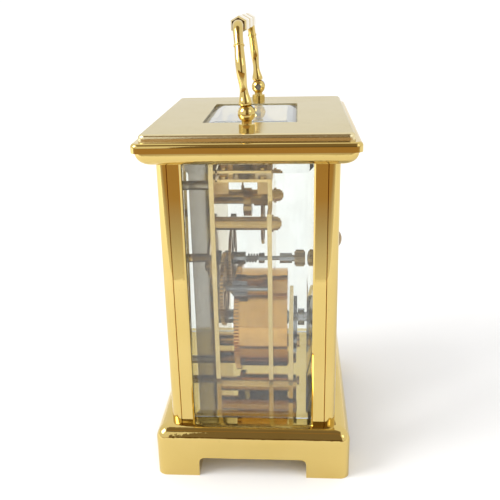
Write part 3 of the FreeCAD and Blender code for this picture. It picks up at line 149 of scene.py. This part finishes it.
def giltBrass(name, base, deep, extraHaze, coat, edge):
    # mirror-polished, lacquered brass: ripples from the buffing wheel, wiping marks, pits, cloudy lacquer
    look = giltLook
    paint = Finish(name)
    spot = paint.place()
    cloud = paint.noise(spot, look["cloud"], 4.0)
    blotch = paint.noise(spot, look["blotch"], 3.0, 0.6)
    pits = paint.noise(spot, look["speck"], 2.0) > look["pitAbove"]
    stains = blotch > (look["stainAbove"] - extraHaze * 0.3)
    ripple = paint.noise(spot, look["ripple"], 2.0)
    wipe = paint.noise(paint.place(scale=look["wipeLines"]), 1.0, 3.0)
    cross = paint.noise(paint.place(scale=look["crossLines"], turn=look["crossTurn"]), 1.0, 2.0)
    colour = paint.mix((cloud - 0.3).clamp(0, 0.6) * 1.4, base, deep)
    colour = paint.mix((pits * 0.4 + stains * 0.10).clamp(0, 1), colour, look["stain"])
    scratch = (wipe > look["wipeAbove"]) + (cross > look["crossAbove"])
    rough = (look["roughness"] + extraHaze * 0.8 + (cloud - 0.4).clamp(0, 1) * (look["haze"] + extraHaze)
             + pits * 0.12 + scratch * 0.03)
    height = ripple * 0.5 + wipe * 0.03 + cross * 0.02 - pits * 0.25
    return paint.surface({
        "Base Color": colour, "Metallic": 1.0, "Roughness": rough, "Coat Weight": coat,
        "Coat Roughness": look["coatRoughness"] + extraHaze, "Coat IOR": look["coatIor"],
        "Specular Tint": edge, "Normal": paint.bump(height, look["bump"], look["strength"])})


# name: base, tarnished base, roughness, and the cells per metre of its turned or grained lines
brassKinds = {
    "movementBrass": (rgb(0.52, 0.34, 0.11), rgb(0.33, 0.19, 0.06), 0.07, (900, 60, 900)),
    # the knobs' brass is painted darker and browner: painted shade standing in for the dim brown
    # surroundings they reflect
    "knobBrassPaintedShade": (rgb(0.36, 0.26, 0.13), rgb(0.20, 0.13, 0.06), 0.14, (900, 60, 900)),
    "wheelBrass": (rgb(0.46, 0.30, 0.12), rgb(0.28, 0.17, 0.06), 0.16, (700, 700, 700)),
    "plateBrass": (rgb(0.66, 0.50, 0.22), rgb(0.52, 0.37, 0.15), 0.05, (1200, 1200, 30)),
    "platformGilt": (rgb(0.68, 0.50, 0.22), rgb(0.55, 0.38, 0.15), 0.16, (60, 1500, 1500)),
    "drumBrass": (rgb(0.64, 0.37, 0.11), rgb(0.48, 0.24, 0.06), 0.03, (60, 1400, 60))}
platedLook = {"cloud": 180.0, "speck": 3200.0, "speckAbove": 0.73, "speckColour": rgb(0.12, 0.08, 0.03),
              "bump": 0.00002, "strength": 0.4}


def platedBrass(name, base, deep, roughness, lines):
    # brass of the movement: fine grain, light tarnish and specks
    look = platedLook
    paint = Finish(name)
    spot = paint.place()
    cloud = paint.noise(spot, look["cloud"], 4.0, 0.6)
    grain = paint.noise(paint.place(scale=lines), 1.0, 3.0)
    speck = paint.noise(spot, look["speck"], 2.0) > look["speckAbove"]
    colour = paint.mix((cloud - 0.35).clamp(0, 0.5) * 1.6, base, deep)
    colour = paint.mix(speck * 0.4, colour, look["speckColour"])
    rough = roughness + (cloud - 0.3).clamp(0, 1) * 0.08 + grain * 0.04
    height = grain * 0.5 - speck * 0.4
    return paint.surface({"Base Color": colour, "Metallic": 1.0, "Roughness": rough,
                          "Normal": paint.bump(height, look["bump"], look["strength"])})


steelLook = {"plain": rgb(0.36, 0.36, 0.37), "blue": rgb(0.03, 0.045, 0.16), "rust": rgb(0.10, 0.05, 0.03),
             "cloud": 240.0, "speck": 2400.0, "rustAbove": 0.76, "tarnish": 0.5, "bump": 0.00002,
             "strength": 0.4}


def polishedSteel(name, base, roughness, turned):
    # polished steel: turning lines, a little grey tarnish and pin-prick rust
    look = steelLook
    paint = Finish(name)
    spot = paint.place()
    cloud = paint.noise(spot, look["cloud"], 4.0, 0.6)
    grain = paint.noise(paint.place(scale=turned), 1.0, 3.0)
    rust = paint.noise(spot, look["speck"], 2.0) > look["rustAbove"]
    dull = rgb(*[channel * look["tarnish"] for channel in base[:3]])
    colour = paint.mix((cloud - 0.3).clamp(0, 0.6), base, dull)
    colour = paint.mix(rust * 0.6, colour, look["rust"])
    rough = roughness + cloud * 0.10 + grain * 0.05 + rust * 0.3
    return paint.surface({"Base Color": colour, "Metallic": 1.0, "Roughness": rough,
                          "Normal": paint.bump(grain, look["bump"], look["strength"])})


glassLook = {
    "tint": rgb(0.97, 0.995, 0.98), "deepTint": rgb(0.94, 0.975, 0.955), "ior": 1.5,
    "film": rgb(0.50, 0.50, 0.46), "overlayShare": 0.045, "filmRoughness": 0.8,
    "topPaintedReflection": rgb(0.58, 0.61, 0.61), "topPaintedReflectionShare": 0.22,
    "smear": 60.0, "dust": 2300.0, "dustAbove": 0.775, "streakLines": (900, 900, 60),
    "streakTurn": (0.2, 0.1, 0), "streakAbove": 0.66, "bump": 0.00001, "strength": 0.1}


def clearGlass(name, filmAndPaintedReflectionColour, overlayShare):
    # polished plate glass with a faint film, wiping smears and settled dust; on the top glass the film
    # layer is painted reflection of the pale ceiling
    look = glassLook
    paint = Finish(name)
    spot = paint.place()
    smear = paint.noise(spot, look["smear"], 3.0)
    dust = paint.noise(spot, look["dust"], 1.0) > look["dustAbove"]
    streak = paint.noise(paint.place(scale=look["streakLines"], turn=look["streakTurn"]), 1.0, 2.0)
    rough = (smear - 0.55).clamp(0, 1) * 0.05
    colour = paint.mix(smear, look["tint"], look["deepTint"])
    clear = paint.add("ShaderNodeBsdfPrincipled", None, {
        "Base Color": colour, "Roughness": rough, "IOR": look["ior"], "Transmission Weight": 1.0,
        "Normal": paint.bump(smear, look["bump"], look["strength"])})
    film = paint.add("ShaderNodeBsdfPrincipled", None, {
        "Base Color": filmAndPaintedReflectionColour, "Roughness": look["filmRoughness"]})
    marks = (smear - 0.45).clamp(0, 1) * 0.12 + (streak > look["streakAbove"]) * 0.02 + dust * 0.22
    share = (overlayShare + marks).clamp(0, 0.6)
    both = paint.add("ShaderNodeMixShader", None, {
        0: share, 1: paint.wire(clear), 2: paint.wire(film)})
    paint.tree.links.new(both.outputs[0], paint.output.inputs["Surface"])
    return paint.material


enamelLook = {
    "white": rgb(0.84, 0.82, 0.75), "whiter": rgb(0.90, 0.885, 0.84), "pinHole": rgb(0.45, 0.42, 0.36),
    "metal": rgb(0.36, 0.31, 0.23), "faceDepth": 0.0002, "cloud": 90.0, "peel": 900.0, "speck": 1900.0,
    "speckAbove": 0.78, "roughness": 0.12, "coat": 0.5, "edge": rgb(0.6, 0.57, 0.52),
    "bump": 0.00003, "strength": 0.3}


def whiteEnamel():
    # fired enamel on the dial's front, with slight orange peel and pin holes, and bare metal behind it
    look = enamelLook
    paint = Finish("whiteEnamel")
    spot = paint.place()
    cloud = paint.noise(spot, look["cloud"], 3.0)
    peel = paint.noise(spot, look["peel"], 2.0)
    speck = paint.noise(spot, look["speck"], 1.0) > look["speckAbove"]
    colour = paint.mix(cloud, look["white"], look["whiter"])
    colour = paint.mix(speck * 0.5, colour, look["pinHole"])
    split = paint.add("ShaderNodeSeparateXYZ", None, {0: spot})
    metal = paint.wire(split, 1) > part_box("dial")[0][1] + look["faceDepth"]
    colour = paint.mix(metal, colour, look["metal"])
    return paint.surface({
        "Base Color": colour, "Roughness": look["roughness"] + cloud * 0.08 + metal * 0.06,
        "Metallic": metal * 0.9, "Coat Weight": look["coat"] - metal * look["coat"],
        "Specular Tint": look["edge"], "Normal": paint.bump(peel, look["bump"], look["strength"])})


inkLook = {"black": rgb(0.012, 0.011, 0.012), "worn": rgb(0.07, 0.06, 0.055), "wear": 700.0,
           "roughness": 0.22, "bump": 0.00001, "strength": 0.3}


def blackEnamel():
    # painted numerals, slightly worn
    look = inkLook
    paint = Finish("blackEnamel")
    wear = paint.noise(paint.place(), look["wear"], 3.0)
    colour = paint.mix((wear - 0.5).clamp(0, 1), look["black"], look["worn"])
    return paint.surface({"Base Color": colour, "Roughness": look["roughness"] + wear * 0.2,
                          "Normal": paint.bump(wear, look["bump"], look["strength"])})


rubyLook = {"dark": rgb(0.45, 0.01, 0.05), "light": rgb(0.75, 0.03, 0.12), "depth": 1600.0,
            "roughness": 0.04, "bump": 0.00001, "strength": 0.2}


def rubyJewel():
    # polished synthetic ruby
    look = rubyLook
    paint = Finish("rubyJewel")
    depth = paint.noise(paint.place(), look["depth"], 2.0)
    colour = paint.mix(depth, look["dark"], look["light"])
    return paint.surface({"Base Color": colour, "Roughness": look["roughness"] + depth * 0.05,
                          "Coat Weight": 1.0, "Normal": paint.bump(depth, look["bump"], look["strength"])})


gilt = giltBrass("giltBrass", giltLook["base"], giltLook["deep"], 0.0, giltLook["coat"], giltLook["edge"])
# top plate: hazier gilt whose paler, less saturated colour is painted sheen, standing in for the grazing
# reflection of the white backdrop
topGilt = giltBrass("topPlateBrass", giltLook["paintedSheenBase"], giltLook["paintedSheenDeep"], giltLook["topHaze"],
                    giltLook["topCoat"], giltLook["hazeEdge"])
brass = {name: platedBrass(name, *kind) for name, kind in brassKinds.items()}
steel = polishedSteel("polishedSteel", steelLook["plain"], 0.10, (1400, 80, 1400))
blued = polishedSteel("bluedSteel", steelLook["blue"], 0.14, (1400, 1400, 90))
enamel = whiteEnamel()
inkBlack = blackEnamel()
ruby = rubyJewel()
glass = clearGlass("bevelledGlass", glassLook["film"], glassLook["overlayShare"])
# the top glass's pale blue-grey film layer is painted reflection of the ceiling, with the real smears and
# dust on top
topGlass = clearGlass("topGlass", glassLook["topPaintedReflection"], glassLook["topPaintedReflectionShare"])
slotFinish = {"gilt_brass": gilt, "movement_brass": brass["movementBrass"],
              "silvered_brass": brass["platformGilt"], "polished_steel": steel, "blued_steel": blued,
              "white_enamel": enamel, "bevelled_glass": glass}
nodeFinish = {"top_plate": topGilt, "glass_top": topGlass}
for finishName, nodes in (
        ("knobBrassPaintedShade", ("door_knob", "setting_knob")),
        ("plateBrass", ("front_plate", "back_plate", "barrel_bridge", "balance")),
        ("drumBrass", ("barrel", "barrel_cover")),
        ("wheelBrass", ("centre_wheel", "second_wheel", "third_wheel", "contrate_wheel", "escape_wheel",
                        "platform_brackets")),
        ("platformGilt", ("escape_cock", "balance_cock"))):
    for node in nodes:
        nodeFinish[node] = brass[finishName]
for part in frame["record"]["subparts"]:
    node = frame["nodes"][part["node"]]
    node.data.materials.clear()
    node.data.materials.append(nodeFinish.get(part["node"], slotFinish[part["material_slot"]]))
for name in frame["nodes"]:
    if name.startswith("glass_"):
        frame["nodes"][name].visible_shadow = False
print("finishes made")


# ---- dial and jewels ----

dialLook = {
    "minuteRing": 0.84, "hourRing": 0.66, "letter": 0.0042, "line": 0.00016, "lift": 0.00002,
    "thick": 0.00004,
    "track": 0.0014, "heavyBar": 0.00045, "fineBar": 0.00014, "ringSides": 120, "flatten": 0.4,
    "numerals": ("XII", "I", "II", "III", "IIII", "V", "VI", "VII", "VIII", "IX", "X", "XI")}
jewelLook = {"ring": 0.0005, "thick": 0.00022, "flatten": 0.35, "sides": 48}


def pickOnly(*objects):
    bpy.ops.object.select_all(action="DESELECT")
    for item in objects:
        item.select_set(True)
    bpy.context.view_layer.objects.active = objects[0]


def joined(name, members, paint, body):
    pickOnly(*members)
    bpy.ops.object.join()
    piece = bpy.context.view_layer.objects.active
    piece.name = name
    piece.data.materials.clear()
    piece.data.materials.append(paint)
    pickOnly(piece)
    bpy.ops.object.transform_apply(location=True, rotation=True, scale=True)
    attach(piece, body)


def raisedBar(width, length, height, place, turn):
    bpy.ops.mesh.primitive_cube_add(size=1, location=place)
    bar = bpy.context.object
    bar.scale = (width, height, length)
    bar.rotation_euler = (0, turn, 0)
    pickOnly(bar)
    bpy.ops.object.transform_apply(location=False, rotation=False, scale=True)
    bevel = bar.modifiers.new("soften", "BEVEL")
    bevel.width = min(width, height) * 0.2
    bevel.segments = 2
    bpy.ops.object.modifier_apply(modifier=bevel.name)
    return bar


def middleOf(node):
    low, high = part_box(node)
    return Vector([(a + b) / 2 for a, b in zip(low, high)])


def minuteTrack(pivot, ring):
    # a bar a minute, heavier at each fifth, between two fine circles
    look = dialLook
    marks = []
    for radius in (ring, ring - look["track"]):
        bpy.ops.mesh.primitive_torus_add(
            major_radius=radius, minor_radius=look["line"] / 2, major_segments=look["ringSides"],
            minor_segments=6, location=pivot, rotation=(math.radians(90), 0, 0))
        circle = bpy.context.object
        circle.scale = (1, 1, look["flatten"])
        marks.append(circle)
    for minute in range(60):
        angle = math.radians(6 * minute)
        width = look["heavyBar"] if minute % 5 == 0 else look["fineBar"]
        middle = pivot + outward(angle) * (ring - look["track"] / 2)
        marks.append(raisedBar(width, look["track"], look["thick"], middle, angle))
    return marks


def outward(angle):
    # direction from the dial's middle, turning clockwise from twelve
    return Vector((math.sin(angle), 0, math.cos(angle)))


def raisedNumeral(letters, place, angle):
    bpy.ops.object.text_add()
    numeral = bpy.context.object
    numeral.data.body = letters
    numeral.data.align_x = "CENTER"
    numeral.data.align_y = "CENTER"
    numeral.data.size = dialLook["letter"]
    numeral.data.extrude = dialLook["thick"] / 2
    pickOnly(numeral)
    bpy.ops.object.convert(target="MESH")
    numeral = bpy.context.object
    turn = Matrix.Rotation(angle, 4, "Y") @ Matrix.Rotation(math.radians(90), 4, "X")
    numeral.matrix_world = Matrix.Translation(place) @ turn
    return numeral


def makeDialMarks():
    look = dialLook
    low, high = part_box("dial")
    arbor = middleOf("centre_arbor")
    pivot = Vector((arbor.x, low[1] - look["lift"], arbor.z))
    reach = min(high[0] - pivot.x, high[2] - pivot.z, pivot.z - low[2])
    marks = minuteTrack(pivot, reach * look["minuteRing"])
    for hour, letters in enumerate(look["numerals"]):
        angle = math.radians(30 * hour)
        place = pivot + outward(angle) * reach * look["hourRing"]
        marks.append(raisedNumeral(letters, place, angle))
    joined("dialMarks", marks, inkBlack, "case")


def makeJewels():
    # a small flattened ruby ring on each cock, around the pivot that it holds
    look = jewelLook
    jewels = []
    for wheel, cock in (("balance", "balance_cock"), ("escape_wheel", "escape_cock")):
        axis = middleOf(wheel)
        bpy.ops.mesh.primitive_torus_add(
            major_radius=look["ring"], minor_radius=look["thick"], major_segments=look["sides"],
            minor_segments=12, location=(axis.x, axis.y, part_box(cock)[1][2]))
        jewel = bpy.context.object
        jewel.scale = (1, 1, look["flatten"])
        bpy.ops.object.shade_smooth()
        jewels.append(jewel)
    joined("platformJewels", jewels, ruby, "case")


makeDialMarks()
makeJewels()
print("dial and jewels made")


# ---- studio ----

studio = {
    "floorHalf": 6.0, "paper": rgb(0.86, 0.855, 0.85), "paperLight": rgb(0.885, 0.88, 0.875),
    "farPaperPaintedLight": rgb(0.98, 0.98, 0.98), "world": rgb(1.0, 1.0, 1.0), "worldStrength": 1.05,
    "aim": (0, 0, 0.06), "cameraPlace": (0.233364, 0.014392, 0.151626), "heading": 94.07, "down": 19.97,
    "roll": -1.25, "lens": 49.41, "sensor": 36, "clipStart": 0.01}
# name: place, size, power
lamps = {"keyLight": ((0.35, -0.85, 0.75), 0.55, 9.0), "fillLight": ((0.5, 0.75, 0.6), 0.3, 0.5)}
# glowing sheets that only reflections see: painted reflections of the table, the dark horizon, the room and
# an orange streak on the ceiling
room = rgb(0.27, 0.21, 0.14)
dark = rgb(0.09, 0.055, 0.03)
paintedOrangeStreak = rgb(0.55, 0.30, 0.10)
# name: place, size, tilt in degrees, direction of the ramp, and the ramp's stops
cards = {
    "tableReflection": ((1.2, 0.0, 0.002), (2.0, 4.0), 0.0, 1, (
        (0.0, rgb(1.0, 0.98, 0.95)), (0.035, rgb(0.68, 0.64, 0.60)), (0.06, rgb(0.58, 0.47, 0.38)),
        (0.085, rgb(0.55, 0.36, 0.17)), (0.25, rgb(0.50, 0.31, 0.13)), (1.0, dark))),
    "wallReflection": ((2.2, 0.44, 1.1), (2.2, 1.72), 90.0, -1, (
        (0.0, dark), (0.06, dark), (0.16, room), (1.0, room))),
    "ceilingReflection": ((1.15, 0.1, 2.2), (2.1, 2.2), 0.0, 1, (
        (0.0, rgb(0.42, 0.36, 0.27)), (0.2, room), (0.62, room), (0.64, paintedOrangeStreak), (0.68, paintedOrangeStreak),
        (0.70, room), (1.0, room)))}


def makeFloor():
    # pale paper, painted a little darker around the clock so that its shadow shows and painted brighter
    # further off: painted shade near the clock, painted light far from it
    bpy.ops.object.select_all(action="DESELECT")
    bpy.ops.mesh.primitive_plane_add(size=2 * studio["floorHalf"], location=(0, 0, 0))
    floor = bpy.context.object
    floor.name = "floor"
    paint = Finish("floorPaper")
    spot = paint.place()
    paper = paint.mix(paint.noise(spot, 6.0, 2.0), studio["paper"], studio["paperLight"])
    reach = paint.add("ShaderNodeVectorMath", {"operation": "LENGTH"}, {0: spot})
    # painted light: the paper is painted brighter with distance from the clock, so the far floor stays
    # white where the lamp falls off
    paintedBrightening = (paint.wire(reach, 1) * 4.0 - 0.6).clamp(0, 1)
    colour = paint.mix(paintedBrightening, paper, studio["farPaperPaintedLight"])
    floor.data.materials.append(paint.surface({"Base Color": colour, "Roughness": 0.7}))


def makeStudio():
    makeFloor()
    world = bpy.data.worlds.new("softWhite")
    bpy.context.scene.world = world
    world.use_nodes = True
    background = world.node_tree.nodes["Background"]
    background.inputs["Color"].default_value = studio["world"]
    background.inputs["Strength"].default_value = studio["worldStrength"]
    for name, values in lamps.items():
        lamp(name, *values)
    for name, values in cards.items():
        card(name, *values)


def lamp(name, place, size, power):
    bpy.ops.object.light_add(type="AREA", location=place)
    light = bpy.context.object
    light.name = name
    light.data.size = size
    light.data.energy = power
    light.rotation_euler = (Vector(studio["aim"]) - light.location).to_track_quat("-Z", "Y").to_euler()


def card(name, place, size, tilt, sign, stops):
    # a glowing sheet that only reflections see, a painted reflection of the room shaded along its first
    # side
    bpy.ops.mesh.primitive_plane_add(size=1, location=place, rotation=(0, math.radians(tilt), 0))
    sheet = bpy.context.object
    sheet.name = name
    sheet.scale = (size[0], size[1], 1)
    paint = Finish(name + "Paint")
    split = paint.add("ShaderNodeSeparateXYZ", None, {0: paint.place()})
    along = paint.wire(split) * sign + 0.5
    ramp = paint.add("ShaderNodeValToRGB", {"stops": stops}, {0: along})
    glow = paint.add("ShaderNodeEmission", None, {"Color": paint.wire(ramp), "Strength": 1.0})
    paint.tree.links.new(glow.outputs[0], paint.output.inputs["Surface"])
    sheet.data.materials.append(paint.material)
    for ray in ("camera", "diffuse", "transmission", "shadow", "volume_scatter"):
        setattr(sheet, "visible_" + ray, False)


def makeCamera():
    bpy.ops.object.camera_add(location=studio["cameraPlace"])
    camera = bpy.context.object
    camera.name = "camera"
    turn = (Matrix.Rotation(math.radians(studio["heading"]), 4, "Z")
            @ Matrix.Rotation(math.radians(90 - studio["down"]), 4, "X")
            @ Matrix.Rotation(math.radians(studio["roll"]), 4, "Z"))
    camera.matrix_world = Matrix.Translation(studio["cameraPlace"]) @ turn
    camera.data.lens = studio["lens"]
    camera.data.sensor_width = studio["sensor"]
    camera.data.clip_start = studio["clipStart"]
    bpy.context.scene.camera = camera


makeStudio()
makeCamera()
bpy.context.scene.view_settings.view_transform = "Standard"
print("studio ready")
